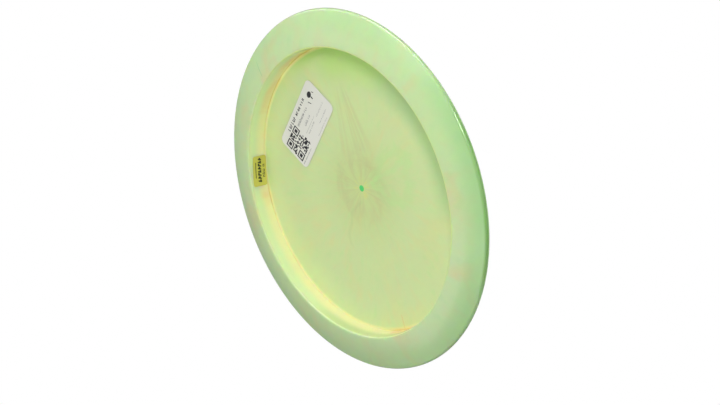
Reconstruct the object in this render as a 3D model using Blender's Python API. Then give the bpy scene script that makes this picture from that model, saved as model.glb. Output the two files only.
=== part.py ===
"""Golf-style flying disc, lying dome up on its rim.

Frame: metres, +Z up along the spin axis, origin at the centre of the plane that the rim rests on.
Pieces: the disc, moulded in one shot; a foil stamp on top of the flight plate; a paper label under
the flight plate; a small foil label on the rim's inner wall. Nothing moves against anything else.
"""
import math

import bmesh
import bpy
from mathutils import Vector

MM = 0.001

# The moulding
DISC_RADIUS = 105.5 * MM
WALL_FOOT_RADIUS = 84.4 * MM       # rim's inner wall at its lower edge
WALL_HEAD_RADIUS = 84.3 * MM       # rim's inner wall where the flight plate starts
RIM_DEPTH = 12.2 * MM              # from the resting plane to the flight plate, at the wall
PLATE_CROWN = 1.7 * MM             # how much higher the flight plate is at its centre
PLATE_THICKNESS = 1.8 * MM
SHOULDER_RADIUS = 80.0 * MM        # where the dome turns into the upper wing
SHOULDER_REACH = 4.0 * MM          # how far the shoulder's curve keeps the dome's direction
UPPER_WING_SLOPE = math.radians(17.5)
UPPER_WING_REACH = 13.0 * MM       # how far the upper wing runs straight from the nose
NOSE_HEIGHT = 7.3 * MM
NOSE_ROUND = 2.0 * MM
LOWER_WING_SLOPE = math.radians(23)
LOWER_WING_REACH = 8.0 * MM        # how far the lower wing runs straight from the nose
LAND_SLOPE = math.radians(9)       # the lower wing's slope where it leaves the land
LAND_REACH = 6.0 * MM              # how far the lower wing keeps that slope
LAND_OUTER_RADIUS = 86.2 * MM      # the land is the flat ring that the disc rests on
LOWER_EDGE_ROUND = 0.8 * MM        # rounded corner between the land and the inner wall
PLATE_FILLET = 0.7 * MM            # hollow corner between the inner wall and the flight plate
GATE_RADIUS = 1.9 * MM             # the gate's round mark under the centre
GATE_RELIEF = 0.15 * MM
TURN_STEPS = 96
PLATE_RINGS = 4                    # rings of facets between the axis and the plate's edge, on each side

# What is stuck or pressed onto it
GAP = 0.3 * MM                     # clearance between each of these and the moulding
SKIN = 0.1 * MM                    # their thickness

PRODUCT_LABEL_SIZE = (50.8 * MM, 25.4 * MM)
PRODUCT_LABEL_CORNER = 3.2 * MM
PRODUCT_LABEL_RADIUS = 53.2 * MM   # distance of its centre from the spin axis
PRODUCT_LABEL_ANGLE = math.radians(149.9)
PRODUCT_LABEL_TILT = math.radians(-1.7)

WEIGHT_LABEL_SIZE = (18.6 * MM, 10.0 * MM)
WEIGHT_LABEL_CORNER = 1.2 * MM
WEIGHT_LABEL_HEIGHT = 7.6 * MM     # its centre above the resting plane
WEIGHT_LABEL_ANGLE = math.radians(111.6)
WEIGHT_LABEL_TILT = math.radians(4.7)

STAMP_RADII = (17.0 * MM, 19.0 * MM, 30.0 * MM, 41.0 * MM, 43.5 * MM)
STAMP_RAYS = 16
STAMP_STEPS_PER_RAY = 4            # half of them ray, half of them gap


def underside_height(radius):
    """The flight plate's underside, a shallow dome."""
    return RIM_DEPTH + PLATE_CROWN * (1 - (radius / WALL_HEAD_RADIUS) ** 2)


def top_height(radius):
    """The flight plate's top, the same dome one plate thickness higher."""
    return underside_height(radius) + PLATE_THICKNESS


def dome_slope(radius):
    """The dome's rise per unit of radius, negative because it falls towards the rim."""
    return -2 * PLATE_CROWN * radius / WALL_HEAD_RADIUS ** 2


def arc(centre, radius, start, end, count):
    """Points on a circular arc, with both ends; angles in degrees from the outward direction."""
    points = []
    for step in range(count):
        angle = math.radians(start + (end - start) * step / (count - 1))
        points.append((centre[0] + radius * math.cos(angle), centre[1] + radius * math.sin(angle)))
    return points


def bezier(start, start_handle, end_handle, end, count):
    """Points inside a cubic Bezier curve, without its ends."""
    points = []
    for step in range(1, count + 1):
        t = step / (count + 1)
        weights = ((1 - t) ** 3, 3 * t * (1 - t) ** 2, 3 * t ** 2 * (1 - t), t ** 3)
        corners = (start, start_handle, end_handle, end)
        points.append(tuple(sum(w * p[axis] for w, p in zip(weights, corners)) for axis in (0, 1)))
    return points


def nose_points():
    """The rounded leading edge, from the upper wing to the lower wing."""
    centre = (DISC_RADIUS - NOSE_ROUND, NOSE_HEIGHT)
    upper = arc(centre, NOSE_ROUND, 90 - math.degrees(UPPER_WING_SLOPE), 0, 4)
    lower = arc(centre, NOSE_ROUND, 0, math.degrees(LOWER_WING_SLOPE) - 90, 4)
    return upper + lower[1:]


def upper_wing_points(nose_top):
    """From the dome's shoulder down to the nose."""
    shoulder = (SHOULDER_RADIUS, top_height(SHOULDER_RADIUS))
    leave = (shoulder[0] + SHOULDER_REACH, shoulder[1] + SHOULDER_REACH * dome_slope(SHOULDER_RADIUS))
    arrive = (nose_top[0] - UPPER_WING_REACH, nose_top[1] + UPPER_WING_REACH * math.tan(UPPER_WING_SLOPE))
    return [shoulder] + bezier(shoulder, leave, arrive, nose_top, 5)


def lower_wing_points(nose_foot):
    """From the nose back to the flat ring."""
    land = (LAND_OUTER_RADIUS, 0)
    leave = (nose_foot[0] - LOWER_WING_REACH, nose_foot[1] - LOWER_WING_REACH * math.tan(LOWER_WING_SLOPE))
    arrive = (LAND_OUTER_RADIUS + LAND_REACH, LAND_REACH * math.tan(LAND_SLOPE))
    return bezier(nose_foot, leave, arrive, land, 4) + [land]


def pocket_points():
    """The hollow side: lower edge, inner wall, hollow corner, flight plate and gate mark."""
    edge_centre = (WALL_FOOT_RADIUS + LOWER_EDGE_ROUND, LOWER_EDGE_ROUND)
    corner_centre = (WALL_HEAD_RADIUS - PLATE_FILLET, RIM_DEPTH - PLATE_FILLET)
    points = arc(edge_centre, LOWER_EDGE_ROUND, 270, 180, 4)
    points += arc(corner_centre, PLATE_FILLET, 0, 90, 4)
    for ring in range(PLATE_RINGS - 1, 0, -1):
        radius = WALL_HEAD_RADIUS * ring / PLATE_RINGS
        points.append((radius, underside_height(radius)))
    foot = underside_height(GATE_RADIUS)
    points += [(GATE_RADIUS, foot), (GATE_RADIUS, foot - GATE_RELIEF), (0, underside_height(0) - GATE_RELIEF)]
    return points


def body_profile():
    """Half of the section, as (radius, height), from the top's centre round to the underside's centre."""
    rings = [SHOULDER_RADIUS * ring / PLATE_RINGS for ring in range(PLATE_RINGS)]
    points = [(radius, top_height(radius)) for radius in rings]
    nose = nose_points()
    points += upper_wing_points(nose[0])
    points += nose
    points += lower_wing_points(nose[-1])
    points += pocket_points()
    return points


def plastic(name, colour, roughness, metallic=0.0):
    """A plain material with the piece's colour."""
    material = bpy.data.materials.new(name)
    material.use_nodes = True
    shader = material.node_tree.nodes["Principled BSDF"]
    shader.inputs["Base Color"].default_value = (*colour, 1)
    shader.inputs["Roughness"].default_value = roughness
    shader.inputs["Metallic"].default_value = metallic
    return material


def add_object(name, mesh, material):
    mesh.materials.append(material)
    obj = bpy.data.objects.new(name, mesh)
    bpy.context.scene.collection.objects.link(obj)
    return obj


def make_body():
    """The section, turned once round the spin axis."""
    profile = body_profile()
    mesh = bpy.data.meshes.new("disc_body")
    edges = [(i, i + 1) for i in range(len(profile) - 1)]
    mesh.from_pydata([(radius, 0, height) for radius, height in profile], edges, [])
    body = add_object("disc_body", mesh, plastic("disc_plastic", (0.62, 0.80, 0.42), 0.32))
    turn = body.modifiers.new("turn", "SCREW")
    turn.axis = "Z"
    turn.steps = TURN_STEPS
    turn.render_steps = TURN_STEPS
    turn.use_merge_vertices = True
    turn.merge_threshold = 0.01 * MM
    turn.use_smooth_shade = True
    return body


def thicken(obj):
    """Gives a skin its thickness, away from the moulding."""
    solidify = obj.modifiers.new("thickness", "SOLIDIFY")
    solidify.thickness = SKIN
    solidify.offset = 1
    obj.data.shade_smooth()
    obj.data.set_sharp_from_angle(angle=math.radians(30))


def rounded_outline(size, corner, steps=5):
    """The points of a rectangle with rounded corners, centred on the origin, anticlockwise."""
    half_x, half_y = size[0] / 2 - corner, size[1] / 2 - corner
    outline = []
    for quarter, (sx, sy) in enumerate(((1, 1), (-1, 1), (-1, -1), (1, -1))):
        for step in range(steps):
            angle = math.radians(90 * (quarter + step / (steps - 1)))
            outline.append((sx * half_x + corner * math.cos(angle), sy * half_y + corner * math.sin(angle)))
    return outline


def with_side_points(outline, longest):
    """The same outline with points added along its straight sides."""
    points = []
    for start, end in zip(outline, outline[1:] + outline[:1]):
        pieces = max(1, math.ceil(math.dist(start, end) / longest))
        for piece in range(pieces):
            points.append(tuple(s + (e - s) * piece / pieces for s, e in zip(start, end)))
    return points


def draped_label(name, size, corner, place, material, rings=3):
    """A rounded rectangle laid onto a surface. place turns a point of the label into a point in space."""
    outline = with_side_points(rounded_outline(size, corner), size[0] / 10)
    mesh = bmesh.new()
    centre = mesh.verts.new(place(0, 0))
    loops = []
    for ring in range(1, rings + 1):
        share = ring / rings
        loops.append([mesh.verts.new(place(x * share, y * share)) for x, y in outline])
    for i in range(len(outline)):
        j = (i + 1) % len(outline)
        mesh.faces.new((centre, loops[0][i], loops[0][j]))
        for inner, outer in zip(loops, loops[1:]):
            mesh.faces.new((inner[i], outer[i], outer[j], inner[j]))
    data = bpy.data.meshes.new(name)
    mesh.to_mesh(data)
    mesh.free()
    thicken(add_object(name, data, material))


def under_plate(x, y):
    """A point of the product label, x along its long side, which faces the spin axis."""
    centre = Vector((math.cos(PRODUCT_LABEL_ANGLE), math.sin(PRODUCT_LABEL_ANGLE))) * PRODUCT_LABEL_RADIUS
    facing = PRODUCT_LABEL_ANGLE + PRODUCT_LABEL_TILT
    out = Vector((math.cos(facing), math.sin(facing)))
    side = Vector((out.y, -out.x))
    flat = centre + out * y + side * x
    return Vector((*flat, underside_height(flat.length) - GAP))


def on_wall(x, y):
    """A point of the weight label, x along the rim and y up the wall, and round the hollow corner."""
    along = x * math.cos(WEIGHT_LABEL_TILT) - y * math.sin(WEIGHT_LABEL_TILT)
    up = WEIGHT_LABEL_HEIGHT + x * math.sin(WEIGHT_LABEL_TILT) + y * math.cos(WEIGHT_LABEL_TILT)
    radius, height = wall_section(up)
    angle = WEIGHT_LABEL_ANGLE + along / WALL_FOOT_RADIUS
    return Vector((radius * math.cos(angle), radius * math.sin(angle), height))


def wall_section(up):
    """Where the wall is, as (radius, height), after a run of this length up it; GAP clear of the wall."""
    bend = RIM_DEPTH - PLATE_FILLET
    if up <= bend:
        lean = (WALL_HEAD_RADIUS - WALL_FOOT_RADIUS) / (bend - LOWER_EDGE_ROUND)
        return WALL_HEAD_RADIUS + (up - bend) * lean - GAP, up
    turn = min((up - bend) / PLATE_FILLET, math.pi / 2)
    past = up - bend - turn * PLATE_FILLET
    reach = PLATE_FILLET - GAP
    centre = WALL_HEAD_RADIUS - PLATE_FILLET
    return centre + reach * math.cos(turn) - past, bend + reach * math.sin(turn)


def make_labels():
    paper = plastic("label_paper", (0.83, 0.83, 0.80), 0.45)
    gold = plastic("label_gold", (0.62, 0.56, 0.16), 0.35)
    draped_label("product_label", PRODUCT_LABEL_SIZE, PRODUCT_LABEL_CORNER, under_plate, paper)
    draped_label("weight_label", WEIGHT_LABEL_SIZE, WEIGHT_LABEL_CORNER, on_wall, gold)


def make_stamp():
    """The foil: two rings joined by rays, which widen outwards, as cells of a round grid."""
    turns = STAMP_RAYS * STAMP_STEPS_PER_RAY
    mesh = bmesh.new()
    grid = []
    for radius in STAMP_RADII:
        height = top_height(radius) + GAP
        angles = [2 * math.pi * turn / turns for turn in range(turns)]
        grid.append([mesh.verts.new((radius * math.cos(a), radius * math.sin(a), height)) for a in angles])
    last = len(STAMP_RADII) - 2
    for band, (inner, outer) in enumerate(zip(grid, grid[1:])):
        for turn in range(turns):
            if band in (0, last) or turn % STAMP_STEPS_PER_RAY < STAMP_STEPS_PER_RAY // 2:
                following = (turn + 1) % turns
                mesh.faces.new((inner[turn], outer[turn], outer[following], inner[following]))
    loose = [vert for vert in mesh.verts if not vert.link_faces]
    bmesh.ops.delete(mesh, geom=loose, context="VERTS")
    data = bpy.data.meshes.new("hot_stamp")
    mesh.to_mesh(data)
    mesh.free()
    thicken(add_object("hot_stamp", data, plastic("stamp_foil", (0.75, 0.77, 0.80), 0.2, metallic=1.0)))


def main():
    for obj in list(bpy.data.objects):
        bpy.data.objects.remove(obj)
    make_body()
    make_stamp()
    make_labels()


main()
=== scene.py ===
"""Looks of the golf-style flying disc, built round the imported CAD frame.

Metres, +Z up along the spin axis; the disc lies dome up on its rim and the camera looks up at its underside.
"""
import math
import random

import bmesh
import bpy
from mathutils import Matrix, Vector


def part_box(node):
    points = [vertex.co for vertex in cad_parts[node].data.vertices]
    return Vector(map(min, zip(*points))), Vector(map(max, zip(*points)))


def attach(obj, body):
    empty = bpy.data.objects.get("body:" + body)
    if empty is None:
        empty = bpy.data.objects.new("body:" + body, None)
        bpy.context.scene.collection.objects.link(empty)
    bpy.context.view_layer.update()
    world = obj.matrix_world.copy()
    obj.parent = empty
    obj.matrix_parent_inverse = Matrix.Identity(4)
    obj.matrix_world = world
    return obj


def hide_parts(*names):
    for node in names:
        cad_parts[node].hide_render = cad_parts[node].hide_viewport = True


MM = 0.001

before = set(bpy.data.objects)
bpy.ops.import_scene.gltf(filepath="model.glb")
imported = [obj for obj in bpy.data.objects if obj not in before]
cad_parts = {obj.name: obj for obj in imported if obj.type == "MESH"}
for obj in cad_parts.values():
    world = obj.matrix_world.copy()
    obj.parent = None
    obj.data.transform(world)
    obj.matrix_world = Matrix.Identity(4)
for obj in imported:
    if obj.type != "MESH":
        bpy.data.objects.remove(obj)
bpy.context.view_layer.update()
BODY_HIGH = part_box("disc_body")[1]

# ---------------------------------------------------------------- sizes; the outer ones come from the frame
DISC_RADIUS = BODY_HIGH.x
TOP_HEIGHT = BODY_HIGH.z
PLATE_THICKNESS = 1.8 * MM
WALL_FOOT_RADIUS = 0.800 * DISC_RADIUS
WALL_HEAD_RADIUS = 0.799 * DISC_RADIUS
RIM_DEPTH = 12.2 * MM
PLATE_CROWN = TOP_HEIGHT - PLATE_THICKNESS - RIM_DEPTH
SHOULDER_RADIUS = 80.0 * MM
SHOULDER_REACH = 4.0 * MM
UPPER_WING_SLOPE = math.radians(17.5)
UPPER_WING_REACH = 13.0 * MM
NOSE_HEIGHT = 7.3 * MM
NOSE_ROUND = 2.0 * MM
LOWER_WING_SLOPE = math.radians(23)
LOWER_WING_REACH = 8.0 * MM
LAND_REACH = 6.0 * MM
LAND_SLOPE = math.radians(9)
LAND_OUTER_RADIUS = 86.2 * MM
LOWER_EDGE_ROUND = 0.8 * MM
PLATE_FILLET = 0.7 * MM
GATE_RADIUS = 1.9 * MM
GATE_RELIEF = 0.15 * MM

# how finely the moulding is divided: round the disc, and along each stretch of its section
TURN_STEPS = 360
PLATE_TOP_STEPS = 24
UPPER_WING_STEPS = 16
NOSE_STEPS = 24
LOWER_WING_STEPS = 14
EDGE_STEPS = 9
WALL_STEPS = 6
FILLET_STEPS = 7
PLATE_STEPS = 27

# the gate's mark: rings as shares of its radius, and how far each stands down as a share of its relief
GATE_RINGS = (
    (1.25, 0.0), (1.1, 0.1), (1.0, 0.6), (0.9, 0.95), (0.8, 1.0),
    (0.5, 1.0), (0.35, 0.8), (0.2, 0.3), (0.0, 0.2),
)
# where the plain plate ends and those rings begin, in gate radii
GATE_CLEAR = 2.2

PRODUCT_LABEL_SIZE = (50.8 * MM, 25.4 * MM)
PRODUCT_LABEL_CORNER = 3.2 * MM
PRODUCT_LABEL_RADIUS = 53.2 * MM
PRODUCT_LABEL_ANGLE = math.radians(149.9)
PRODUCT_LABEL_TILT = math.radians(-1.7)

WEIGHT_LABEL_SIZE = (18.6 * MM, 10.0 * MM)
WEIGHT_LABEL_CORNER = 1.2 * MM
WEIGHT_LABEL_HEIGHT = 7.6 * MM
WEIGHT_LABEL_ANGLE = math.radians(111.6)
WEIGHT_LABEL_TILT = math.radians(4.7)

# the thickness of a label, of its print and of the stamp, and the gap under a label or the stamp
LABEL_SKIN = 0.08 * MM
INK_LIFT = 0.02 * MM
FOIL_SKIN = 0.03 * MM
CLEARANCE = 0.02 * MM

# a label and the stamp are shaded smooth, except over edges sharper than this
SHARP_ANGLE = math.radians(40)

# how finely labels and print are divided, so that they follow the surface that they lie on
LABEL_STEPS = 40
LABEL_RINGS = 12
LABEL_CORNER_POINTS = 10
PRINT_STEP = 1.2 * MM
SIGN_STEP = 0.6 * MM
SIGN_POINTS = 24


# ---------------------------------------------------------------- the moulding's section
def underside_height(radius):
    """The flight plate's underside: a shallow dome."""
    return RIM_DEPTH + PLATE_CROWN * (1 - (radius / WALL_HEAD_RADIUS) ** 2)


def top_height(radius):
    return underside_height(radius) + PLATE_THICKNESS


def dome_slope(radius):
    """The rise for each step outwards, which is a fall."""
    return -2 * PLATE_CROWN * radius / WALL_HEAD_RADIUS ** 2


def arc(centre, radius, start, end, steps):
    """Points on a circular arc, with both ends; angles in degrees from the outward direction."""
    points = []
    for step in range(steps + 1):
        angle = math.radians(start + (end - start) * step / steps)
        points.append((centre[0] + radius * math.cos(angle), centre[1] + radius * math.sin(angle)))
    return points


def bezier(start, start_handle, end_handle, end, count):
    """Points inside a cubic Bezier curve, without its ends."""
    points = []
    for step in range(1, count + 1):
        t = step / (count + 1)
        weights = ((1 - t) ** 3, 3 * t * (1 - t) ** 2, 3 * t ** 2 * (1 - t), t ** 3)
        corners = (start, start_handle, end_handle, end)
        points.append(tuple(sum(w * p[axis] for w, p in zip(weights, corners)) for axis in (0, 1)))
    return points


def nose_points():
    """The rounded leading edge, from the upper wing round to the lower one."""
    centre = (DISC_RADIUS - NOSE_ROUND, NOSE_HEIGHT)
    start = 90 - math.degrees(UPPER_WING_SLOPE)
    end = math.degrees(LOWER_WING_SLOPE) - 90
    return arc(centre, NOSE_ROUND, start, end, NOSE_STEPS)


def upper_wing_points(nose_top):
    """From the shoulder down to the nose, without its end."""
    shoulder = (SHOULDER_RADIUS, top_height(SHOULDER_RADIUS))
    leave = (shoulder[0] + SHOULDER_REACH, shoulder[1] + SHOULDER_REACH * dome_slope(SHOULDER_RADIUS))
    arrive = (nose_top[0] - UPPER_WING_REACH, nose_top[1] + UPPER_WING_REACH * math.tan(UPPER_WING_SLOPE))
    return [shoulder] + bezier(shoulder, leave, arrive, nose_top, UPPER_WING_STEPS)


def lower_wing_points(nose_foot):
    """From the nose down to the flat ring that the disc rests on, without its start."""
    land = (LAND_OUTER_RADIUS, 0)
    leave = (nose_foot[0] - LOWER_WING_REACH, nose_foot[1] - LOWER_WING_REACH * math.tan(LOWER_WING_SLOPE))
    arrive = (LAND_OUTER_RADIUS + LAND_REACH, LAND_REACH * math.tan(LAND_SLOPE))
    return bezier(nose_foot, leave, arrive, land, LOWER_WING_STEPS) + [land]


def pocket_points():
    """The hollow side: lower edge, inner wall, hollow corner, flight plate and gate mark."""
    edge_centre = (WALL_FOOT_RADIUS + LOWER_EDGE_ROUND, LOWER_EDGE_ROUND)
    corner_centre = (WALL_HEAD_RADIUS - PLATE_FILLET, RIM_DEPTH - PLATE_FILLET)
    points = arc(edge_centre, LOWER_EDGE_ROUND, 270, 180, EDGE_STEPS)
    foot = points[-1]
    head = (WALL_HEAD_RADIUS, RIM_DEPTH - PLATE_FILLET)
    for step in range(1, WALL_STEPS):
        points.append(tuple(f + (h - f) * step / WALL_STEPS for f, h in zip(foot, head)))
    points += arc(corner_centre, PLATE_FILLET, 0, 90, FILLET_STEPS)
    for step in range(1, PLATE_STEPS + 1):
        radius = corner_centre[0] + (GATE_CLEAR * GATE_RADIUS - corner_centre[0]) * step / PLATE_STEPS
        points.append((radius, underside_height(radius)))
    return points


def gate_points():
    """The gate's mark: a low round pad with a shallow dimple in its middle."""
    foot = underside_height(GATE_RADIUS)
    return [(share * GATE_RADIUS, foot - relief * GATE_RELIEF) for share, relief in GATE_RINGS]


def body_profile():
    """Half of the section, as (radius, height), from the top's centre round to the underside's centre."""
    points = []
    for step in range(PLATE_TOP_STEPS):
        radius = step * SHOULDER_RADIUS / PLATE_TOP_STEPS
        points.append((radius, top_height(radius)))
    nose = nose_points()
    points += upper_wing_points(nose[0])
    points += nose
    points += lower_wing_points(nose[-1])
    points += pocket_points()
    points += gate_points()
    return points


def finished(mesh, name):
    """The mesh as a data block; the editing mesh is freed."""
    data = bpy.data.meshes.new(name)
    mesh.to_mesh(data)
    mesh.free()
    return data


def lathe(name, profile, steps):
    """The section turned once round the spin axis; its first and last points are on the axis."""
    mesh = bmesh.new()
    rings = [[mesh.verts.new((0, 0, profile[0][1]))]]
    for radius, height in profile[1:-1]:
        angles = [2 * math.pi * step / steps for step in range(steps)]
        rings.append([mesh.verts.new((radius * math.cos(a), radius * math.sin(a), height)) for a in angles])
    rings.append([mesh.verts.new((0, 0, profile[-1][1]))])
    for upper, lower in zip(rings, rings[1:]):
        for step in range(steps):
            following = (step + 1) % steps
            corners = [upper[step % len(upper)], lower[step % len(lower)]]
            corners += [lower[following % len(lower)], upper[following % len(upper)]]
            mesh.faces.new(list(dict.fromkeys(corners)))
    data = finished(mesh, name)
    data.shade_smooth()
    return data


# ---------------------------------------------------------------- node helpers
class Nodes:
    """Short forms for building a material's node tree."""

    def __init__(self, name):
        self.material = bpy.data.materials.new(name)
        self.material.use_nodes = True
        self.tree = self.material.node_tree
        self.shader = self.tree.nodes["Principled BSDF"]

    def add(self, kind, **settings):
        node = self.tree.nodes.new(kind)
        for key, value in settings.items():
            setattr(node, key, value)
        return node

    def put(self, socket, value):
        """Links a socket, or sets a plain value."""
        if isinstance(value, bpy.types.NodeSocket):
            self.tree.links.new(value, socket)
        elif isinstance(value, (tuple, list)) and len(value) == 3 and socket.type == "RGBA":
            socket.default_value = (*value, 1)
        else:
            socket.default_value = value

    def math(self, operation, first, second=0.0):
        node = self.add("ShaderNodeMath", operation=operation)
        self.put(node.inputs[0], first)
        self.put(node.inputs[1], second)
        return node.outputs[0]

    def times(self, first, second):
        return self.math("MULTIPLY", first, second)

    def plus(self, first, second):
        return self.math("ADD", first, second)

    def minus(self, first, second):
        return self.math("SUBTRACT", first, second)

    def part_along(self, x, y, angle):
        """How much of the flat vector (x, y) lies along the direction at this angle."""
        return self.plus(self.times(x, math.cos(angle)), self.times(y, math.sin(angle)))

    def polar(self, x, y):
        """The flat vector's length, and its direction as the two parts of a unit vector."""
        flat = self.join(x, y, 0.0)
        length = self.add("ShaderNodeVectorMath", operation="LENGTH")
        self.put(length.inputs[0], flat)
        unit = self.add("ShaderNodeVectorMath", operation="NORMALIZE")
        self.put(unit.inputs[0], flat)
        across, along = self.split(unit.outputs[0])[:2]
        return length.outputs["Value"], across, along

    def split(self, vector):
        node = self.add("ShaderNodeSeparateXYZ")
        self.put(node.inputs[0], vector)
        return node.outputs

    def join(self, x, y, z):
        node = self.add("ShaderNodeCombineXYZ")
        for socket, value in zip(node.inputs, (x, y, z)):
            self.put(socket, value)
        return node.outputs[0]

    def noise(self, vector, scale, detail=2.0, roughness=0.5, distortion=0.0):
        node = self.add("ShaderNodeTexNoise")
        self.put(node.inputs["Vector"], vector)
        node.inputs["Scale"].default_value = scale
        node.inputs["Detail"].default_value = detail
        node.inputs["Roughness"].default_value = roughness
        node.inputs["Distortion"].default_value = distortion
        return node.outputs["Fac"]

    def step(self, value, low, high):
        """A smooth rise from 0 at low to 1 at high, or a fall where low is the larger."""
        falls = low > high
        node = self.add("ShaderNodeMapRange", interpolation_type="SMOOTHSTEP")
        self.put(node.inputs["Value"], value)
        node.inputs["From Min"].default_value = min(low, high)
        node.inputs["From Max"].default_value = max(low, high)
        node.inputs["To Min"].default_value = 1.0 if falls else 0.0
        node.inputs["To Max"].default_value = 0.0 if falls else 1.0
        return node.outputs[0]

    def band(self, value, low, high, soft):
        """1 between low and high, falling to 0 over soft on each side."""
        return self.times(self.step(value, low - soft, low), self.step(value, high + soft, high))

    def mix(self, share, first, second):
        """The first colour, with this share of the second."""
        node = self.add("ShaderNodeMix", data_type="RGBA")
        self.put(node.inputs[0], share)
        self.put(node.inputs[6], first)
        self.put(node.inputs[7], second)
        return node.outputs[2]

    def stain(self, colour, over, *shares, strength=1.0):
        """The colour with another laid over it, as strongly as the product of the shares and the strength."""
        share = shares[0]
        for other in shares[1:]:
            share = self.times(share, other)
        return self.mix(self.times(share, strength), colour, over)

    def bump(self, height, strength, distance):
        node = self.add("ShaderNodeBump")
        node.inputs["Strength"].default_value = strength
        node.inputs["Distance"].default_value = distance
        self.put(node.inputs["Height"], height)
        self.put(self.shader.inputs["Normal"], node.outputs[0])

    def surface(self, **values):
        """Sets the shader's sockets, named with _ for a space, and gives the finished material."""
        for key, value in values.items():
            self.put(self.shader.inputs[key.replace("_", " ")], value)
        return self.material


def srgb(red, green, blue):
    """A colour given as it looks on a screen, 0 to 255, as the linear values that a shader takes."""
    shares = (red / 255, green / 255, blue / 255)
    return tuple(c / 12.92 if c <= 0.04045 else ((c + 0.055) / 1.055) ** 2.4 for c in shares)


# ---------------------------------------------------------------- materials
RIM_MINT = srgb(205, 230, 173)
PLATE_GREEN = srgb(206, 222, 174)
BLUSH = srgb(230, 204, 148)
LEAF = srgb(170, 224, 150)
SMUDGE = srgb(186, 158, 132)
OLIVE = srgb(190, 194, 138)
PETAL = srgb(226, 220, 112)
WALL_MINT = srgb(227, 245, 192)
# painted shade: the wall's mint, darker, for one side
WALL_PAINTED_SHADE = srgb(206, 222, 158)
# a painted highlight along the wall's lower edge
LIP_PAINTED_HIGHLIGHT = srgb(232, 246, 150)
CREAM = srgb(250, 246, 188)
PEACH = srgb(244, 214, 146)
AMBER = srgb(222, 204, 112)
# the next two are painted shadow: greens for the plate where the rim shades it
PAINTED_SHADOW_GREEN = srgb(190, 226, 140)
PAINTED_RIM_SHADOW_GREEN = srgb(160, 193, 144)
WING_MINT = srgb(184, 238, 168)
# painted light: a paler tint that lightens the whole top side
PAINTED_TOP_LIGHT = srgb(226, 250, 196)
# painted shade: the nose's green on one side, and a deeper one at its edge
NOSE_PAINTED_SHADE = srgb(140, 202, 128)
NOSE_EDGE_PAINTED_SHADE = srgb(115, 178, 69)
GATE_GREEN = srgb(84, 206, 120)

PAPER_WHITE = srgb(236, 236, 226)
INK_BLACK = srgb(38, 36, 44)
INK_GREY = srgb(112, 110, 112)
INK_PALE = srgb(150, 150, 146)
LABEL_GOLD = srgb(214, 210, 92)
GOLD_INK = srgb(44, 52, 26)
FOIL_SILVER = srgb(214, 218, 224)
FLOOR_PAPER = srgb(240, 239, 237)
FLOOR_SPECK = srgb(232, 231, 228)
FLOOR_SHADE = srgb(120, 122, 118)

# how far light spreads inside the plastic, and its red, green and blue parts as shares of that
NOSE_LIGHT_REACH = 0.5 * MM
RIM_LIGHT_REACH = 1.5 * MM
PLATE_LIGHT_REACH = 5.0 * MM
TOP_LIGHT_REACH = 0.5 * MM
LIGHT_SPREAD = (1.0, 1.4, 0.5)

# the plastic's gloss: a clear coat over a rougher, faintly rippled skin that is duller in the clouds
COAT_WEIGHT = 0.7
COAT_ROUGHNESS = 0.12
SKIN_ROUGHNESS = 0.34
CLOUD_ROUGHNESS = 0.14
RIPPLE_SCALE = 380.0
RIPPLE_STRENGTH = 0.10
RIPPLE_HEIGHT = 0.2 * MM

# a point counts as on the top side as the upward part of its normal goes from the first to the second
TOP_NORMAL = (0.3, 0.7)

# In the names below, a RISE or a FALL is a pair of radii (or heights) between which something sets in or runs
# out, a RING is two radii and how softly it ends beyond them, and a SIDE is a direction in degrees and two
# cosines of the angle off it, between which something sets in.

# where the plate's look turns into the rim's, the strength of the plate's blush, and what the rim's has more
RIM_RISE = (WALL_FOOT_RADIUS - 6 * MM, WALL_FOOT_RADIUS + 2 * MM)
PLATE_BLUSH = 0.18
MORE_RIM_BLUSH = 0.20

# stains round the gate
HAZE_FALL = (46 * MM, 8 * MM)
NEAR_THREAD_FALL = (34 * MM, 6 * MM)
SMUDGE_RING = (14 * MM, 18 * MM, 8 * MM)
PETAL_RING = (3 * MM, 5 * MM, 3 * MM)
ARM_RING = (8 * MM, 13 * MM, 8 * MM)
LOOP_CENTRE = (2 * MM, -30 * MM)
LOOP_RING = (13 * MM, 15 * MM, 5 * MM)
RING_WARP = 30 * MM
GATE_TINT_FALL = (1.08 * GATE_RADIUS, 0.92 * GATE_RADIUS)
# the smudges are strongest towards one side, and this strong away from it
SMUDGE_SIDE = (180, -0.2, 0.9)
SMUDGE_ELSEWHERE = 0.55

# the long threads: where they start, the middle of the directions that they take in degrees, how far from the
# start they run and how softly they end, and the cosines off that direction between which they set in
THREAD_ROOT = (-75.6 * MM, -14.7 * MM)
THREAD_AIM = 9.0
THREAD_RUN = (28 * MM, 50 * MM, 16 * MM)
THREAD_SPREAD = (0.95, 0.99)

# painted shadows, in greens, on the plate by the wall where the rim shades it
LONG_SHADOW_RISE = (56 * MM, 74 * MM)
LONG_SHADOW_SIDE = (-158, 0.90, 0.985)
CORNER_SHADOW_RISE = (74 * MM, 82 * MM)
CORNER_SHADOW_SIDE = (-165, 0.80, 0.97)
RIM_SHADOW_RISE = (56 * MM, 68 * MM)
RIM_SHADOW_SIDE = (-103, 0.68, 0.94)
POCKET_FALL = (85.2 * MM, 84.6 * MM)

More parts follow.
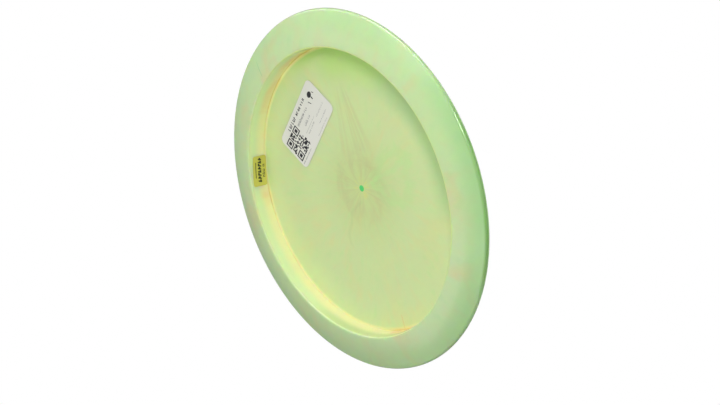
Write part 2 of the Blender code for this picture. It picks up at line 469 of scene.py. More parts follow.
# the wall: its lower lip, with a painted highlight on one side, its face, with painted shade on one side, and
# the line along its corner
LIP_RING = (WALL_FOOT_RADIUS, WALL_FOOT_RADIUS + 0.8 * MM, 0.4 * MM)
INSIDE_FALL = (WALL_FOOT_RADIUS + 0.9 * MM, WALL_FOOT_RADIUS + 0.2 * MM)
BY_WALL_RISE = (WALL_HEAD_RADIUS - 2.5 * MM, WALL_HEAD_RADIUS)
CORNER_RING = (WALL_HEAD_RADIUS - 0.3 * MM, WALL_HEAD_RADIUS, 0.25 * MM)
CORNER_HEIGHTS = (RIM_DEPTH - 0.4 * MM, RIM_DEPTH, 0.25 * MM)
WALL_HEIGHT_RISE = (0.0, 2 * MM)
CREAM_HEIGHT_RISE = (3.5 * MM, 9.5 * MM)
# the side of painted shade on the wall, and the side of the painted highlight on its lip
WALL_PAINTED_SHADE_SIDE = (18, 0.80, 0.98)
LIP_HIGHLIGHT_SIDE = (-120, 0.1, 0.6)

# the wing, and the painted shade on the nose and its edge on one side
WING_RISE = (DISC_RADIUS - 16 * MM, DISC_RADIUS - 3 * MM)
NOSE_SHADE_RISE = (DISC_RADIUS - 14 * MM, DISC_RADIUS)
NOSE_SHADE_SIDE = (-65, 0.45, 0.95)
NOSE_EDGE_SHADE_RISE = (DISC_RADIUS - 1.8 * MM, DISC_RADIUS)
NOSE_EDGE_SHADE_SIDE = (-75, 0.80, 0.96)

# where the reach of light changes
INNER_REACH_FALL = (WALL_FOOT_RADIUS + 0.9 * MM, WALL_FOOT_RADIUS)
NOSE_REACH_RISE = (DISC_RADIUS - 6 * MM, DISC_RADIUS - 2 * MM)

# single streaks of pigment on the underside: degrees round the disc, from and to this radius, how far the
# middle bows aside, width, strength, colour
FLECKS = (
    (156.5, 89.0 * MM, 97.0 * MM, 0.0, 0.4 * MM, 0.6, srgb(130, 206, 140)),
    (2.5, 76.5 * MM, 83.0 * MM, 0.0, 0.4 * MM, 0.6, srgb(222, 178, 104)),
    (-117.0, 89.0 * MM, 98.0 * MM, 0.0, 6.0 * MM, 0.18, srgb(234, 198, 142)),
    (-99.0, 10.0 * MM, 42.0 * MM, 0.0, 3.4 * MM, 0.2, srgb(176, 230, 158)),
    (40.0, 9.0 * MM, 38.0 * MM, 5.0 * MM, 2.2 * MM, 0.1, srgb(140, 176, 118)),
)
# their ragged sides: how far they wander and how wide their full colour is, both in widths; then their ends
FLECK_WANDER = 6
FLECK_CORE = 0.2
FLECK_END = 2 * MM

# the grain of the plain finishes
GRAIN_SHADE = 0.6
GLOSS_SCALE = 0.4
GLOSS_CHANGE = 0.1
GRAIN_BUMP = 0.1
GRAIN_HEIGHT = 0.1 * MM


class DiscPlace:
    """Where a point of the disc is, as sockets: its place, distance and direction from the axis, and side."""

    def __init__(self, n):
        place = n.add("ShaderNodeTexCoord")
        self.point = place.outputs["Object"]
        self.on_top = n.step(n.split(place.outputs["Normal"])[2], *TOP_NORMAL)
        self.below = n.minus(1.0, self.on_top)
        self.x, self.y, self.z = n.split(self.point)[:3]
        self.radius, self.across, self.along = n.polar(self.x, self.y)

    def ray(self, n, spread):
        """A place for noise that runs out in rays: it changes fast round the disc, slowly along a radius."""
        return n.join(self.across, self.along, n.times(self.radius, spread))

    def from_spot(self, n, x, y):
        """The distance from this spot of the disc, and the direction from it as a unit vector's parts."""
        return n.polar(n.minus(self.x, x), n.minus(self.y, y))

    def towards(self, n, angle, low, high):
        """A smooth rise to 1 towards this direction, in degrees, between two cosines of the angle off it."""
        return n.step(n.part_along(self.across, self.along, math.radians(angle)), low, high)


def base_marbling(n, at):
    """The two greens, with blushes and mint rays where the coloured melts ran together."""
    on_rim = n.step(at.radius, *RIM_RISE)
    colour = n.mix(on_rim, PLATE_GREEN, RIM_MINT)
    fine_rays = n.noise(at.ray(n, spread=8.0), scale=14.0, detail=3.0, roughness=0.5, distortion=0.2)
    broad_rays = n.noise(at.ray(n, spread=10.0), scale=4.6, detail=2.0, roughness=0.5, distortion=0.4)
    clouds = n.noise(at.point, scale=22.0, detail=3.0, roughness=0.5, distortion=0.9)
    blush = n.times(n.step(broad_rays, 0.46, 0.68), n.step(clouds, 0.30, 0.60))
    more_on_rim = n.plus(PLATE_BLUSH, n.times(on_rim, MORE_RIM_BLUSH))
    colour = n.stain(colour, BLUSH, blush, more_on_rim)
    colour = n.stain(colour, BLUSH, n.step(fine_rays, 0.50, 0.80), strength=0.18)
    colour = n.stain(colour, LEAF, n.step(fine_rays, 0.48, 0.24), strength=0.18)
    return colour, clouds


def gate_marbling(n, at, colour):
    """Haze, a broken ring of smudges and a star of petals round the gate; a loop and rays beyond them."""
    colour = n.stain(colour, OLIVE, n.step(at.radius, *HAZE_FALL), strength=0.34)
    warp = n.noise(at.point, scale=40.0, detail=3.0, roughness=0.6, distortion=0.8)
    shift = n.times(n.minus(warp, 0.5), RING_WARP)
    patches = n.noise(at.point, scale=43.0, detail=4.0, roughness=0.62, distortion=0.8)
    ring = n.times(n.band(n.plus(at.radius, shift), *SMUDGE_RING), n.step(patches, 0.36, 0.66))
    one_side = n.times(at.towards(n, *SMUDGE_SIDE), 1 - SMUDGE_ELSEWHERE)
    more_on_one_side = n.plus(SMUDGE_ELSEWHERE, one_side)
    colour = n.stain(colour, SMUDGE, ring, more_on_one_side, strength=0.36)
    loop = n.band(n.plus(at.from_spot(n, *LOOP_CENTRE)[0], shift), *LOOP_RING)
    colour = n.stain(colour, LEAF, loop, strength=0.22)
    star = n.noise(at.ray(n, spread=9.0), scale=3.0, detail=3.0, roughness=0.65, distortion=0.9)
    petals = n.times(n.step(star, 0.46, 0.62), n.band(at.radius, *PETAL_RING))
    colour = n.stain(colour, PETAL, petals, strength=0.32)
    arms = n.times(n.step(star, 0.54, 0.38), n.band(at.radius, *ARM_RING))
    colour = n.stain(colour, SMUDGE, arms, strength=0.16)
    threads = n.noise(at.ray(n, spread=4.0), scale=8.0, detail=3.0, roughness=0.55)
    near = n.times(n.step(at.radius, *NEAR_THREAD_FALL), 0.08)
    return n.stain(colour, SMUDGE, n.step(threads, 0.42, 0.66), near)


def long_threads(n, at, colour):
    """Faint streaks that spread from one spot by the wall and run out in the haze round the gate."""
    distance, across, along = at.from_spot(n, *THREAD_ROOT)
    threads = n.noise(n.join(across, along, distance), scale=17.0, detail=2.0, roughness=0.4)
    cosine = n.part_along(across, along, math.radians(THREAD_AIM))
    reach = n.times(n.band(distance, *THREAD_RUN), n.step(cosine, *THREAD_SPREAD))
    return n.stain(colour, SMUDGE, n.step(threads, 0.30, 0.74), reach, strength=0.26)


def paint_wall_shadows(n, at, colour):
    """Painted shadow where the rim shades the plate: a deeper green against the wall on one side, and a
    duller one beside it.
    """
    # painted shadow: a deep green against the wall on one side, out from it and in its corner
    long_shadow = n.times(n.step(at.radius, *LONG_SHADOW_RISE), at.towards(n, *LONG_SHADOW_SIDE))
    foot = n.times(n.step(at.radius, *CORNER_SHADOW_RISE), at.towards(n, *CORNER_SHADOW_SIDE))
    inside = n.times(n.step(at.radius, *POCKET_FALL), at.below)
    colour = n.stain(colour, PAINTED_SHADOW_GREEN, n.math("MAXIMUM", long_shadow, foot), inside, strength=0.75)
    # painted shadow: a duller green where the rim shades the plate on another side
    dull = n.times(n.step(at.radius, *RIM_SHADOW_RISE), at.towards(n, *RIM_SHADOW_SIDE))
    return n.stain(colour, PAINTED_RIM_SHADOW_GREEN, dull, inside, strength=0.5)


def pocket_wall(n, at, colour, clouds):
    """Cream and peach up the inner wall, painted shade on one side of it, a painted highlight along the lip
    below it and an amber line where it meets the plate.
    """
    # a painted highlight along the lip, strongest on one side
    lip = n.times(n.band(at.radius, *LIP_RING), at.below)
    colour = n.stain(colour, LIP_PAINTED_HIGHLIGHT, lip, at.towards(n, *LIP_HIGHLIGHT_SIDE), strength=0.5)
    inside = n.times(n.step(at.radius, *INSIDE_FALL), at.below)
    by_wall = n.times(inside, n.step(at.radius, *BY_WALL_RISE))
    # the wall's mint, turning to painted shade towards one side
    base = n.mix(at.towards(n, *WALL_PAINTED_SHADE_SIDE), WALL_MINT, WALL_PAINTED_SHADE)
    colour = n.stain(colour, base, by_wall, n.step(at.z, *WALL_HEIGHT_RISE))
    cream = n.times(by_wall, n.step(at.z, *CREAM_HEIGHT_RISE))
    colour = n.stain(colour, CREAM, cream, strength=0.9)
    colour = n.stain(colour, PEACH, cream, n.step(clouds, 0.50, 0.66), strength=0.7)
    line = n.times(n.band(at.radius, *CORNER_RING), n.band(at.z, *CORNER_HEIGHTS))
    return n.stain(colour, AMBER, line, n.step(clouds, 0.3, 0.7), strength=0.8)


def outer_tints(n, at, colour):
    """A painted lighter top, a minty wing, deeper greens of painted shade out to the nose on one side, and
    the green of the gate's mark.
    """
    # painted light: the top side made paler
    colour = n.stain(colour, PAINTED_TOP_LIGHT, at.on_top, strength=0.5)
    colour = n.stain(colour, WING_MINT, n.step(at.radius, *WING_RISE), strength=0.30)
    # painted shade on the nose on one side
    nose = n.times(n.step(at.radius, *NOSE_SHADE_RISE), at.towards(n, *NOSE_SHADE_SIDE))
    colour = n.stain(colour, NOSE_PAINTED_SHADE, nose, strength=0.36)
    # painted shade, deeper, along the nose's very edge on one side
    edge = n.times(n.step(at.radius, *NOSE_EDGE_SHADE_RISE), at.towards(n, *NOSE_EDGE_SHADE_SIDE))
    colour = n.stain(colour, NOSE_EDGE_PAINTED_SHADE, edge, strength=0.6)
    return n.stain(colour, GATE_GREEN, n.step(at.radius, *GATE_TINT_FALL), at.below)


def fleck(n, at, colour, angle, start, end, bow, width, strength, tint):
    """One short streak of pigment that runs out along a radius, straight or bowed."""
    angle = math.radians(angle)
    out = n.part_along(at.x, at.y, angle)
    aside = n.part_along(at.x, at.y, angle + math.pi / 2)
    wander = n.times(n.minus(n.noise(at.point, scale=60.0), 0.5), FLECK_WANDER * width)
    along = n.math("DIVIDE", n.minus(out, start), end - start)
    # along * (1 - along) is a quarter in the middle
    arch = n.times(n.times(along, n.minus(1.0, along)), 4 * bow)
    aside = n.math("ABSOLUTE", n.minus(n.plus(aside, wander), arch))
    share = n.times(n.band(out, start, end, FLECK_END), n.step(aside, width, FLECK_CORE * width))
    return n.stain(colour, tint, share, at.below, strength=strength)


def disc_plastic():
    """Marbled, slightly cloudy plastic, glossy with a faint ripple."""
    n = Nodes("disc_plastic")
    at = DiscPlace(n)
    colour, clouds = base_marbling(n, at)
    colour = gate_marbling(n, at, colour)
    colour = long_threads(n, at, colour)
    # painted shadows by the wall
    colour = paint_wall_shadows(n, at, colour)
    colour = pocket_wall(n, at, colour, clouds)
    for streak in FLECKS:
        colour = fleck(n, at, colour, *streak)
    colour = outer_tints(n, at, colour)
    n.bump(n.noise(at.point, RIPPLE_SCALE, detail=3.0), RIPPLE_STRENGTH, RIPPLE_HEIGHT)
    roughness = n.plus(SKIN_ROUGHNESS, n.times(clouds, CLOUD_ROUGHNESS))
    n.shader.inputs["Coat Weight"].default_value = COAT_WEIGHT
    n.shader.inputs["Coat Roughness"].default_value = COAT_ROUGHNESS
    n.shader.inputs["Subsurface Weight"].default_value = 1.0
    n.shader.inputs["Subsurface Radius"].default_value = LIGHT_SPREAD
    n.put(n.shader.inputs["Subsurface Scale"], light_reach(n, at))
    return n.surface(Base_Color=colour, Roughness=roughness)


def light_reach(n, at):
    """How far light spreads inside: farthest in the thin plate and the wall, least at the nose and on top."""
    inner = n.step(at.radius, *INNER_REACH_FALL)
    nose = n.step(at.radius, *NOSE_REACH_RISE)
    reach = n.plus(RIM_LIGHT_REACH, n.times(inner, PLATE_LIGHT_REACH - RIM_LIGHT_REACH))
    reach = n.plus(reach, n.times(nose, NOSE_LIGHT_REACH - RIM_LIGHT_REACH))
    return n.plus(n.times(reach, at.below), n.times(at.on_top, TOP_LIGHT_REACH))


def plain(name, colour, roughness, metallic=0.0, grain=900.0, amount=0.05):
    """A skin's finish: its colour with a faint grain, and fine unevenness in gloss and surface."""
    n = Nodes(name)
    place = n.add("ShaderNodeTexCoord").outputs["Object"]
    fine = n.noise(place, grain, detail=3.0)
    tint = n.stain(colour, tuple(GRAIN_SHADE * c for c in colour), fine, strength=amount)
    gloss = n.plus(roughness, n.times(n.noise(place, GLOSS_SCALE * grain), GLOSS_CHANGE))
    n.bump(fine, GRAIN_BUMP, GRAIN_HEIGHT)
    n.shader.inputs["Metallic"].default_value = metallic
    return n.surface(Base_Color=tint, Roughness=gloss)


# ---------------------------------------------------------------- pieces
def add_piece(name, data, material, node=None):
    """A visual piece that rides on the body; it may stand for a CAD node."""
    data.materials.append(material)
    obj = bpy.data.objects.new(name, data)
    bpy.context.scene.collection.objects.link(obj)
    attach(obj, "root")
    if node:
        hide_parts(node)
    return obj


def make_body():
    data = lathe("disc_moulding", body_profile(), TURN_STEPS)
    add_piece("disc_moulding", data, disc_plastic(), "disc_body")


def rounded_outline(size, corner):
    """The points of a rectangle with rounded corners, centred on the origin, anticlockwise."""
    half_x, half_y = size[0] / 2 - corner, size[1] / 2 - corner
    outline = []
    for quarter, (sx, sy) in enumerate(((1, 1), (-1, 1), (-1, -1), (1, -1))):
        for point in range(LABEL_CORNER_POINTS):
            angle = math.radians(90 * (quarter + point / (LABEL_CORNER_POINTS - 1)))
            outline.append((sx * half_x + corner * math.cos(angle), sy * half_y + corner * math.sin(angle)))
    return outline


def with_side_points(outline, longest):
    """The same outline with points added along its straight sides."""
    points = []
    for start, end in zip(outline, outline[1:] + outline[:1]):
        pieces = max(1, math.ceil(math.dist(start, end) / longest))
        for piece in range(pieces):
            points.append(tuple(s + (e - s) * piece / pieces for s, e in zip(start, end)))
    return points


def under_plate(x, y, off):
    """A point of the product label, off below the plate. x runs as its print reads, y towards the rim."""
    centre = Vector((math.cos(PRODUCT_LABEL_ANGLE), math.sin(PRODUCT_LABEL_ANGLE))) * PRODUCT_LABEL_RADIUS
    facing = PRODUCT_LABEL_ANGLE + PRODUCT_LABEL_TILT
    out = Vector((math.cos(facing), math.sin(facing)))
    along = Vector((-out.y, out.x))
    flat = centre + out * y + along * x
    return Vector((*flat, underside_height(flat.length) - off))


def on_wall(x, y, off):
    """A point of the weight label, off from the wall. x runs round the rim, y up the wall."""
    along = x * math.cos(WEIGHT_LABEL_TILT) - y * math.sin(WEIGHT_LABEL_TILT)
    up = WEIGHT_LABEL_HEIGHT + x * math.sin(WEIGHT_LABEL_TILT) + y * math.cos(WEIGHT_LABEL_TILT)
    radius, height = wall_section(up, off)
    angle = WEIGHT_LABEL_ANGLE + along / WALL_FOOT_RADIUS
    return Vector((radius * math.cos(angle), radius * math.sin(angle), height))


def wall_section(up, off):
    """Where the wall is, as (radius, height), after a run of this length up it; off clear of the wall."""
    bend = RIM_DEPTH - PLATE_FILLET
    if up <= bend:
        lean = (WALL_HEAD_RADIUS - WALL_FOOT_RADIUS) / (bend - LOWER_EDGE_ROUND)
        return WALL_HEAD_RADIUS + (up - bend) * lean - off, up
    turn = min((up - bend) / PLATE_FILLET, math.pi / 2)
    past = up - bend - turn * PLATE_FILLET
    reach = PLATE_FILLET - off
    centre = WALL_HEAD_RADIUS - PLATE_FILLET
    return centre + reach * math.cos(turn) - past, bend + reach * math.sin(turn)


def sheet_side(mesh, outline, place, off):
    """One face of a label as vertices: its centre, and loops from there out to its outline."""
    centre = mesh.verts.new(place(0, 0, off))
    loops = []
    for ring in range(1, LABEL_RINGS + 1):
        share = ring / LABEL_RINGS
        loops.append([mesh.verts.new(place(x * share, y * share, off)) for x, y in outline])
    return centre, loops


def draped_sheet(name, size, corner, place, material, node):
    """A label: a closed thin sheet with a rounded outline, laid onto its surface by place(x, y, off)."""
    outline = with_side_points(rounded_outline(size, corner), size[0] / LABEL_STEPS)
    mesh = bmesh.new()
    sides = [sheet_side(mesh, outline, place, off) for off in (CLEARANCE, CLEARANCE + LABEL_SKIN)]
    back, front = sides[0][1][-1], sides[1][1][-1]
    for i in range(len(outline)):
        j = (i + 1) % len(outline)
        for order, (centre, loops) in zip((-1, 1), sides):
            mesh.faces.new((centre, loops[0][i], loops[0][j])[::order])
            for inner, outer in zip(loops, loops[1:]):
                mesh.faces.new((inner[i], outer[i], outer[j], inner[j])[::order])
        mesh.faces.new((back[i], back[j], front[j], front[i]))
    bmesh.ops.recalc_face_normals(mesh, faces=mesh.faces)
    data = finished(mesh, name)
    data.shade_smooth()
    data.set_sharp_from_angle(angle=SHARP_ANGLE)
    add_piece(name, data, material, node)


class Print:
    """Ink on a label: each patch is a closed thin tile on the label's face."""

    def __init__(self, place, low):
        self.mesh = bmesh.new()
        self.place = place
        self.low = low

    def patch(self, outline, longest=PRINT_STEP):
        """A closed tile with this outline; long sides get extra points so that it follows the label."""
        outline = with_side_points(outline, longest)
        sheets = []
        for off in (self.low, self.low + INK_LIFT):
            sheets.append([self.mesh.verts.new(self.place(x, y, off)) for x, y in outline])
        count = len(outline)
        self.mesh.faces.new(sheets[0][::-1])
        self.mesh.faces.new(sheets[1])
        for i in range(count):
            j = (i + 1) % count
            self.mesh.faces.new((sheets[0][i], sheets[0][j], sheets[1][j], sheets[1][i]))

    def bar(self, x, y, width, height, lean=0.0):
        """A rectangle by its lower left corner; lean slants it as italic type does."""
        shift = lean * height
        self.patch([(x, y), (x + width, y), (x + width + shift, y + height), (x + shift, y + height)])

    def finish(self, name, material):
        """Makes one piece of all the patches so far."""
        bmesh.ops.recalc_face_normals(self.mesh, faces=self.mesh.faces)
        add_piece(name, finished(self.mesh, name), material)


# the block pattern: cells along a side, a cell's size, its lower left corner on the label, the cells along a
# side of a corner square, and the share of the others that are dark
CODE_CELLS = 21
CODE_CELL = 0.745 * MM
CODE_CORNER = (-23.8 * MM, -7.95 * MM)
FINDER_CELLS = 7
CODE_DARK = 0.5

# seeds of the labels' random draws
PRODUCT_SEED = 7
WEIGHT_SEED = 3

# blocks of type, in shares of a line's height: widths, a low block's height, the middle stroke's level, the
# gaps between blocks and between words; then how many blocks have a second upright
BLOCK_WIDTH = (0.5, 0.72)
LOW_BLOCK = 0.72
MIDDLE_STROKE = 0.28
BLOCK_GAP = 0.24
WORD_GAP = 0.55
SECOND_UPRIGHT = 0.7

# lines of type on the product label: from and to this x, y, height, fewest and most blocks in a word, stroke
HEADLINE = (-14.7 * MM, 12.9 * MM, 8.6 * MM, 2.2 * MM, (3, 6), 0.22)
SMALL_LINES = (
    (-6.5 * MM, 10.4 * MM, 4.3 * MM, 1.8 * MM, (4, 7), 0.14),
    (-1.7 * MM, 7.6 * MM, 0.0 * MM, 1.8 * MM, (3, 5), 0.10),
)
FAINT_LINES = (
    (-4.0 * MM, 6.5 * MM, -4.5 * MM, 0.9 * MM, (4, 6), 0.12),
    (-24.0 * MM, -10.0 * MM, -10.1 * MM, 0.9 * MM, (4, 9), 0.16),
    (10.0 * MM, 22.0 * MM, -4.4 * MM, 1.0 * MM, (3, 5), 0.10),
    (8.5 * MM, 20.0 * MM, -8.4 * MM, 0.9 * MM, (3, 6), 0.10),
    (0.5 * MM, 15.5 * MM, -11.3 * MM, 0.7 * MM, (3, 6), 0.10),
)
# a thin rule by its lower left corner, width and height
FAINT_RULE = (-5.5 * MM, -2.45 * MM, 14 * MM, 0.14 * MM)

# the disc sign: an oval by its centre and size, then dashes by corner, width, height and lean
SIGN_OVAL = (17.5 * MM, 6.9 * MM, 4.3 * MM, 3.3 * MM)
SIGN_DASHES = (
    (17.1 * MM, 3.2 * MM, 0.8 * MM, 1.9 * MM, 0.0),
    (13.6 * MM, 2.8 * MM, 0.5 * MM, 2.6 * MM, -0.35),
    (21.0 * MM, 4.6 * MM, 0.5 * MM, 1.5 * MM, -0.5),
)

# on the weight label: a line of slanted blocks (from and to this x, y, height, count), a rule and small type
BLOCK_LINE = (-7.2 * MM, 8.0 * MM, -1.2 * MM, 2.5 * MM, 8)
CLASS_LINE = (-4.2 * MM, 4.6 * MM, -3.9 * MM, 2.0 * MM, (3, 4), 0.18)
CLASS_RULE = (-4.3 * MM, 2.6 * MM, 9.6 * MM, 0.5 * MM)
# a slanted block: its lean, the widths of its upright and its bar in pitches, the bar's height and its steps
# up in shares of the line's height
BLOCK_LEAN = 0.25
UPRIGHT_WIDTH = 0.46
BAR_WIDTH = 0.38
BAR_HEIGHT = 0.52
BAR_STEP = 0.24


def finder(row, column):
    """Whether a cell of a corner square is dark: a ring round a solid middle."""
    edge = min(row, column, FINDER_CELLS - 1 - row, FINDER_CELLS - 1 - column)
    return edge == 0 or edge >= 2


def code_cell(row, column, rng):
    """Whether a cell of the block pattern is dark. It is random, so it encodes nothing."""
    dark = rng.random() < CODE_DARK
    last = CODE_CELLS - FINDER_CELLS
    corners = ((0, 0), (last, 0), (last, last))
    for r0, c0 in corners:
        if -1 <= row - r0 <= FINDER_CELLS and -1 <= column - c0 <= FINDER_CELLS:
            inside = 0 <= row - r0 < FINDER_CELLS and 0 <= column - c0 < FINDER_CELLS
            return inside and finder(row - r0, column - c0)
    return dark


def greeked(ink, rng, x, end, y, height, words, stroke):
    """A line of type shown as blocks: each is an upright or two and a cross stroke, and none is a letter."""
    thick = stroke * height
    while x < end:
        for _ in range(rng.randint(*words)):
            width = rng.uniform(*BLOCK_WIDTH) * height
            tall = height * rng.choice((LOW_BLOCK, LOW_BLOCK, 1.0))
            if x + width > end:
                return
            ink.bar(x, y, thick, tall)
            if rng.random() < SECOND_UPRIGHT:
                ink.bar(x + width - thick, y, thick, LOW_BLOCK * height)
            level = y + rng.choice((0.0, MIDDLE_STROKE, LOW_BLOCK - stroke)) * height
            ink.bar(x + thick, level, width - 2 * thick, thick)
            x += width + BLOCK_GAP * height
        x += WORD_GAP * height


def slanted_blocks(ink, x, end, y, height, count):
    """A bold line of equal slanted blocks: each is an upright and a thick bar at one of three levels."""
    pitch = (end - x) / count
    upright = UPRIGHT_WIDTH * pitch
    for block in range(count):
        left = x + block * pitch
        ink.bar(left, y, upright, height, BLOCK_LEAN)
        level = (block % 3) * BAR_STEP * height
        right = left + upright + BLOCK_LEAN * level
        ink.bar(right, y + level, BAR_WIDTH * pitch, BAR_HEIGHT * height, BLOCK_LEAN)


def ellipse(x, y, width, height):
    """The outline of an ellipse by its centre and full size."""
    angles = [2 * math.pi * point / SIGN_POINTS for point in range(SIGN_POINTS)]
    return [(x + width / 2 * math.cos(angle), y + height / 2 * math.sin(angle)) for angle in angles]


def disc_sign(ink):
    """A plain sign for a disc in flight: an oval with three dashes."""
    ink.patch(ellipse(*SIGN_OVAL), SIGN_STEP)
    for dash in SIGN_DASHES:
        ink.bar(*dash)


def code_square(ink, rng):
    """The block pattern, row by row from its lower edge."""
    left, foot = CODE_CORNER
    for row in range(CODE_CELLS):
        for column in range(CODE_CELLS):
            if code_cell(row, column, rng):
                ink.bar(left + column * CODE_CELL, foot + row * CODE_CELL, CODE_CELL, CODE_CELL)


def make_product_label():
    paper = plain("label_paper", PAPER_WHITE, roughness=0.42, grain=1500.0)
    black = plain("label_ink", INK_BLACK, roughness=0.5)
    grey = plain("label_ink_grey", INK_GREY, roughness=0.5)
    pale = plain("label_ink_pale", INK_PALE, roughness=0.5)
    draped_sheet("product_label_paper", PRODUCT_LABEL_SIZE, PRODUCT_LABEL_CORNER, under_plate, paper,
                 "product_label")
    rng = random.Random(PRODUCT_SEED)
    ink = Print(under_plate, CLEARANCE + LABEL_SKIN)
    code_square(ink, rng)
    greeked(ink, rng, *HEADLINE)
    disc_sign(ink)
    ink.finish("product_label_print", black)
    small = Print(under_plate, CLEARANCE + LABEL_SKIN)
    for line in SMALL_LINES:
        greeked(small, rng, *line)
    small.finish("product_label_small_print", grey)
    faint = Print(under_plate, CLEARANCE + LABEL_SKIN)
    faint.bar(*FAINT_RULE)
    for line in FAINT_LINES:
        greeked(faint, rng, *line)
    faint.finish("product_label_faint_print", pale)


def make_weight_label():
    gold = plain("label_gold", LABEL_GOLD, roughness=0.35, grain=1200.0)
    dark = plain("weight_ink", GOLD_INK, roughness=0.45)
    draped_sheet("weight_label_foil", WEIGHT_LABEL_SIZE, WEIGHT_LABEL_CORNER, on_wall, gold,
                 "weight_label")
    rng = random.Random(WEIGHT_SEED)

    def upside_down(x, y, off):
        """The print reads with its top towards the rim's lower edge."""
        return on_wall(x, -y, off)

    ink = Print(upside_down, CLEARANCE + LABEL_SKIN)
    slanted_blocks(ink, *BLOCK_LINE)
    greeked(ink, rng, *CLASS_LINE)
    ink.bar(*CLASS_RULE)
    ink.finish("weight_label_print", dark)


# the stamp: the radii of its inner ring and its outer ring, and the rays between them
STAMP_INNER_RING = (17.0 * MM, 19.0 * MM)
STAMP_OUTER_RING = (41.0 * MM, 43.5 * MM)
STAMP_RAYS = 16
STEPS_PER_RAY = 12
STEPS_ALONG_RAY = 8


def stamp_radii():
    """The radii of the stamp's circles, from the inner ring out along the rays to the outer ring."""
    ray_start, ray_end = STAMP_INNER_RING[1], STAMP_OUTER_RING[0]
    radii = [STAMP_INNER_RING[0]]
    for step in range(STEPS_ALONG_RAY + 1):
        radii.append(ray_start + (ray_end - ray_start) * step / STEPS_ALONG_RAY)
    radii.append(STAMP_OUTER_RING[1])
    return radii


def stamp_sheet():
    """Two rings joined by rays as wide as the gaps between them, laid on the top."""
    mesh = bmesh.new()
    turns = STAMP_RAYS * STEPS_PER_RAY
    angles = [2 * math.pi * turn / turns for turn in range(turns)]
    grid = []
    for radius in stamp_radii():
        height = top_height(radius) + CLEARANCE
        grid.append([mesh.verts.new((radius * math.cos(a), radius * math.sin(a), height)) for a in angles])
    last = len(grid) - 2
    for band, (inner, outer) in enumerate(zip(grid, grid[1:])):
        for turn in range(turns):
            if band in (0, last) or turn % STEPS_PER_RAY < STEPS_PER_RAY // 2:
                following = (turn + 1) % turns
                mesh.faces.new((inner[turn], outer[turn], outer[following], inner[following]))
    bmesh.ops.delete(mesh, geom=[v for v in mesh.verts if not v.link_faces], context="VERTS")
    return mesh


def make_stamp():
    """The foil on top. It casts no shadow, because it would show through the plate in the view from below."""
    foil = plain("stamp_foil", FOIL_SILVER, roughness=0.38, metallic=0.85)
    data = finished(stamp_sheet(), "hot_stamp_foil")
    obj = add_piece("hot_stamp_foil", data, foil, "hot_stamp")
    solidify = obj.modifiers.new("thickness", "SOLIDIFY")
    solidify.thickness = FOIL_SKIN
    solidify.offset = 1
    data.shade_smooth()
    data.set_sharp_from_angle(angle=SHARP_ANGLE)
    obj.visible_shadow = False
    obj.visible_diffuse = False


# ---------------------------------------------------------------- stage
# the camera stands on the -Y side below the resting plane; it is rolled, then moved aside in its own plane;
# its lens and sensor are in millimetres
CAMERA_DISTANCE = 1.0292
CAMERA_ELEVATION = math.radians(-38.76)
CAMERA_ROLL = math.radians(70.32)
CAMERA_ASIDE = (9.2 * MM, -4.4 * MM)
CAMERA_LENS = 91.2
CAMERA_SENSOR = 36


def make_camera():
    back = Vector((0, -math.cos(CAMERA_ELEVATION), math.sin(CAMERA_ELEVATION)))
    level_up = Vector((0, math.sin(CAMERA_ELEVATION), math.cos(CAMERA_ELEVATION)))
    level_right = level_up.cross(back)
    right = level_right * math.cos(CAMERA_ROLL) + level_up * math.sin(CAMERA_ROLL)
    up = back.cross(right)
    data = bpy.data.cameras.new("camera")
    data.lens = CAMERA_LENS
    data.sensor_width = CAMERA_SENSOR
    camera = bpy.data.objects.new("camera", data)
    bpy.context.scene.collection.objects.link(camera)
    place = back * CAMERA_DISTANCE + right * CAMERA_ASIDE[0] + up * CAMERA_ASIDE[1]
    camera.matrix_world = Matrix((
        (right.x, up.x, back.x, place.x),
        (right.y, up.y, back.y, place.y),
        (right.z, up.z, back.z, place.z),
        (0, 0, 0, 1),
    ))
    bpy.context.scene.camera = camera


def add_softbox(name, azimuth, elevation, distance, size, power):
    """A rectangular lamp of this width and height that faces the disc from a direction in degrees."""
    a, e = math.radians(azimuth), math.radians(elevation)
    towards = Vector((math.cos(a) * math.cos(e), math.sin(a) * math.cos(e), math.sin(e)))
    data = bpy.data.lights.new(name, "AREA")
    data.shape = "RECTANGLE"
    data.size, data.size_y = size
    data.energy = power
    lamp = bpy.data.objects.new(name, data)
    lamp.location = towards * distance
    lamp.rotation_euler = towards.to_track_quat("Z", "Y").to_euler()
    bpy.context.scene.collection.objects.link(lamp)
    return lamp


WORLD_GREY = 0.21
LAMP_DISTANCE = 0.9
# lamps that leave no reflection, and lamps that leave a reflection only
MATT_LAMPS = ("back_low", "right_low")
GLOSS_LAMPS = ("rim_gloss",)
# the lamps: name, degrees round the disc and above its resting plane, width and height, power
SOFTBOXES = (
    ("key", -105, -33, (0.17, 0.2), 3.4),
    ("front_low", -80, -13, (0.5, 0.3), 0.75),
    ("left_low", 150, -13, (0.5, 0.3), 1.85),
    ("left_side", -170, -30, (0.3, 0.3), 0.6),
    ("left_below", 180, -50, (0.35, 0.6), 1.0),
    ("front_left_below", -150, -50, (0.35, 0.6), 0.8),
    ("right_below", 0, -50, (0.35, 0.6), 0.65),
    ("back_right_below", 60, -50, (0.35, 0.6), 0.65),
    ("back_below", 120, -50, (0.35, 0.6), 0.3),
    ("back_low", 100, -13, (0.5, 0.3), 0.55),
    ("right_low", 40, -13, (0.5, 0.3), 0.55),
    ("above", 0, 90, (1.6, 1.6), 8.0),
    ("rim_gloss", -162, -6, (0.75, 0.24), 7.0),
)


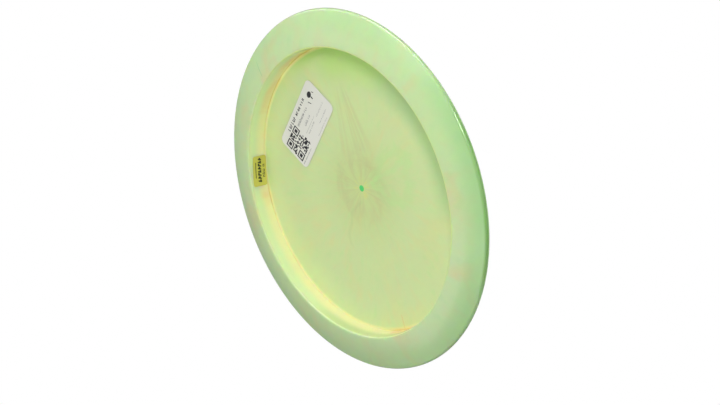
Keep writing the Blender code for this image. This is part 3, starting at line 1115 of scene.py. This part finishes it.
def make_lights():
    for name, azimuth, elevation, size, power in SOFTBOXES:
        lamp = add_softbox(name, azimuth, elevation, LAMP_DISTANCE, size, power)
        lamp.visible_glossy = name not in MATT_LAMPS
        lamp.visible_diffuse = name not in GLOSS_LAMPS


def make_world():
    """A dim grey room that the camera sees as plain white."""
    world = bpy.data.worlds.new("studio")
    world.use_nodes = True
    tree = world.node_tree
    background = tree.nodes["Background"]
    background.inputs["Color"].default_value = (WORLD_GREY, WORLD_GREY, WORLD_GREY, 1)
    white = tree.nodes.new("ShaderNodeBackground")
    white.inputs["Color"].default_value = (1, 1, 1, 1)
    path = tree.nodes.new("ShaderNodeLightPath")
    mix = tree.nodes.new("ShaderNodeMixShader")
    tree.links.new(path.outputs["Is Camera Ray"], mix.inputs[0])
    tree.links.new(background.outputs[0], mix.inputs[1])
    tree.links.new(white.outputs[0], mix.inputs[2])
    tree.links.new(mix.outputs[0], tree.nodes["World Output"].inputs["Surface"])
    bpy.context.scene.world = world


# the floor: half its side, the radii over which it whitens, and those over which the disc's painted shadow
# fades
FLOOR_SIZE = 3.0
FLOOR_DROP = 0.2 * MM
FLOOR_FADE = (0.25, 1.3)
CONTACT_SHADE = (0.165, 0.085)
CONTACT_POWER = 1.6


def floor_paper():
    """Glowing paper with the disc's shadow painted on it. It whitens outwards to meet the backdrop.

    It glows because the lamps are below it, and it is clear from behind, so a camera below it sees the disc.
    """
    n = Nodes("floor_paper")
    at = DiscPlace(n)
    speck = n.noise(at.point, scale=60.0, detail=3.0)
    paper = n.stain(FLOOR_PAPER, FLOOR_SPECK, speck, strength=0.3)
    paper = n.mix(n.step(at.radius, *FLOOR_FADE), paper, (1.0, 1.0, 1.0))
    # the disc's painted contact shadow
    shade = n.math("POWER", n.step(at.radius, *CONTACT_SHADE), CONTACT_POWER)
    paper = n.stain(paper, FLOOR_SHADE, shade, strength=0.7)
    n.surface(Base_Color=(0.0, 0.0, 0.0), Specular_IOR_Level=0.0, Emission_Color=paper, Emission_Strength=1.0)
    facing = n.add("ShaderNodeNewGeometry").outputs["Backfacing"]
    clear = n.add("ShaderNodeBsdfTransparent")
    mix = n.add("ShaderNodeMixShader")
    n.put(mix.inputs[0], facing)
    n.put(mix.inputs[1], n.shader.outputs[0])
    n.put(mix.inputs[2], clear.outputs[0])
    n.put(n.tree.nodes["Material Output"].inputs["Surface"], mix.outputs[0])
    return n.material


def make_floor():
    """A pale floor just below the disc, which only the camera sees."""
    mesh = bmesh.new()
    bmesh.ops.create_grid(mesh, x_segments=8, y_segments=8, size=FLOOR_SIZE)
    data = finished(mesh, "floor")
    data.materials.append(floor_paper())
    floor = bpy.data.objects.new("floor", data)
    floor.location = (0, 0, -FLOOR_DROP)
    bpy.context.scene.collection.objects.link(floor)
    floor.visible_shadow = False
    floor.visible_diffuse = False
    floor.visible_glossy = False
    floor.visible_transmission = False


make_camera()
make_body()
make_product_label()
make_weight_label()
make_stamp()
make_floor()
make_lights()
make_world()
bpy.context.scene.view_settings.view_transform = "Standard"
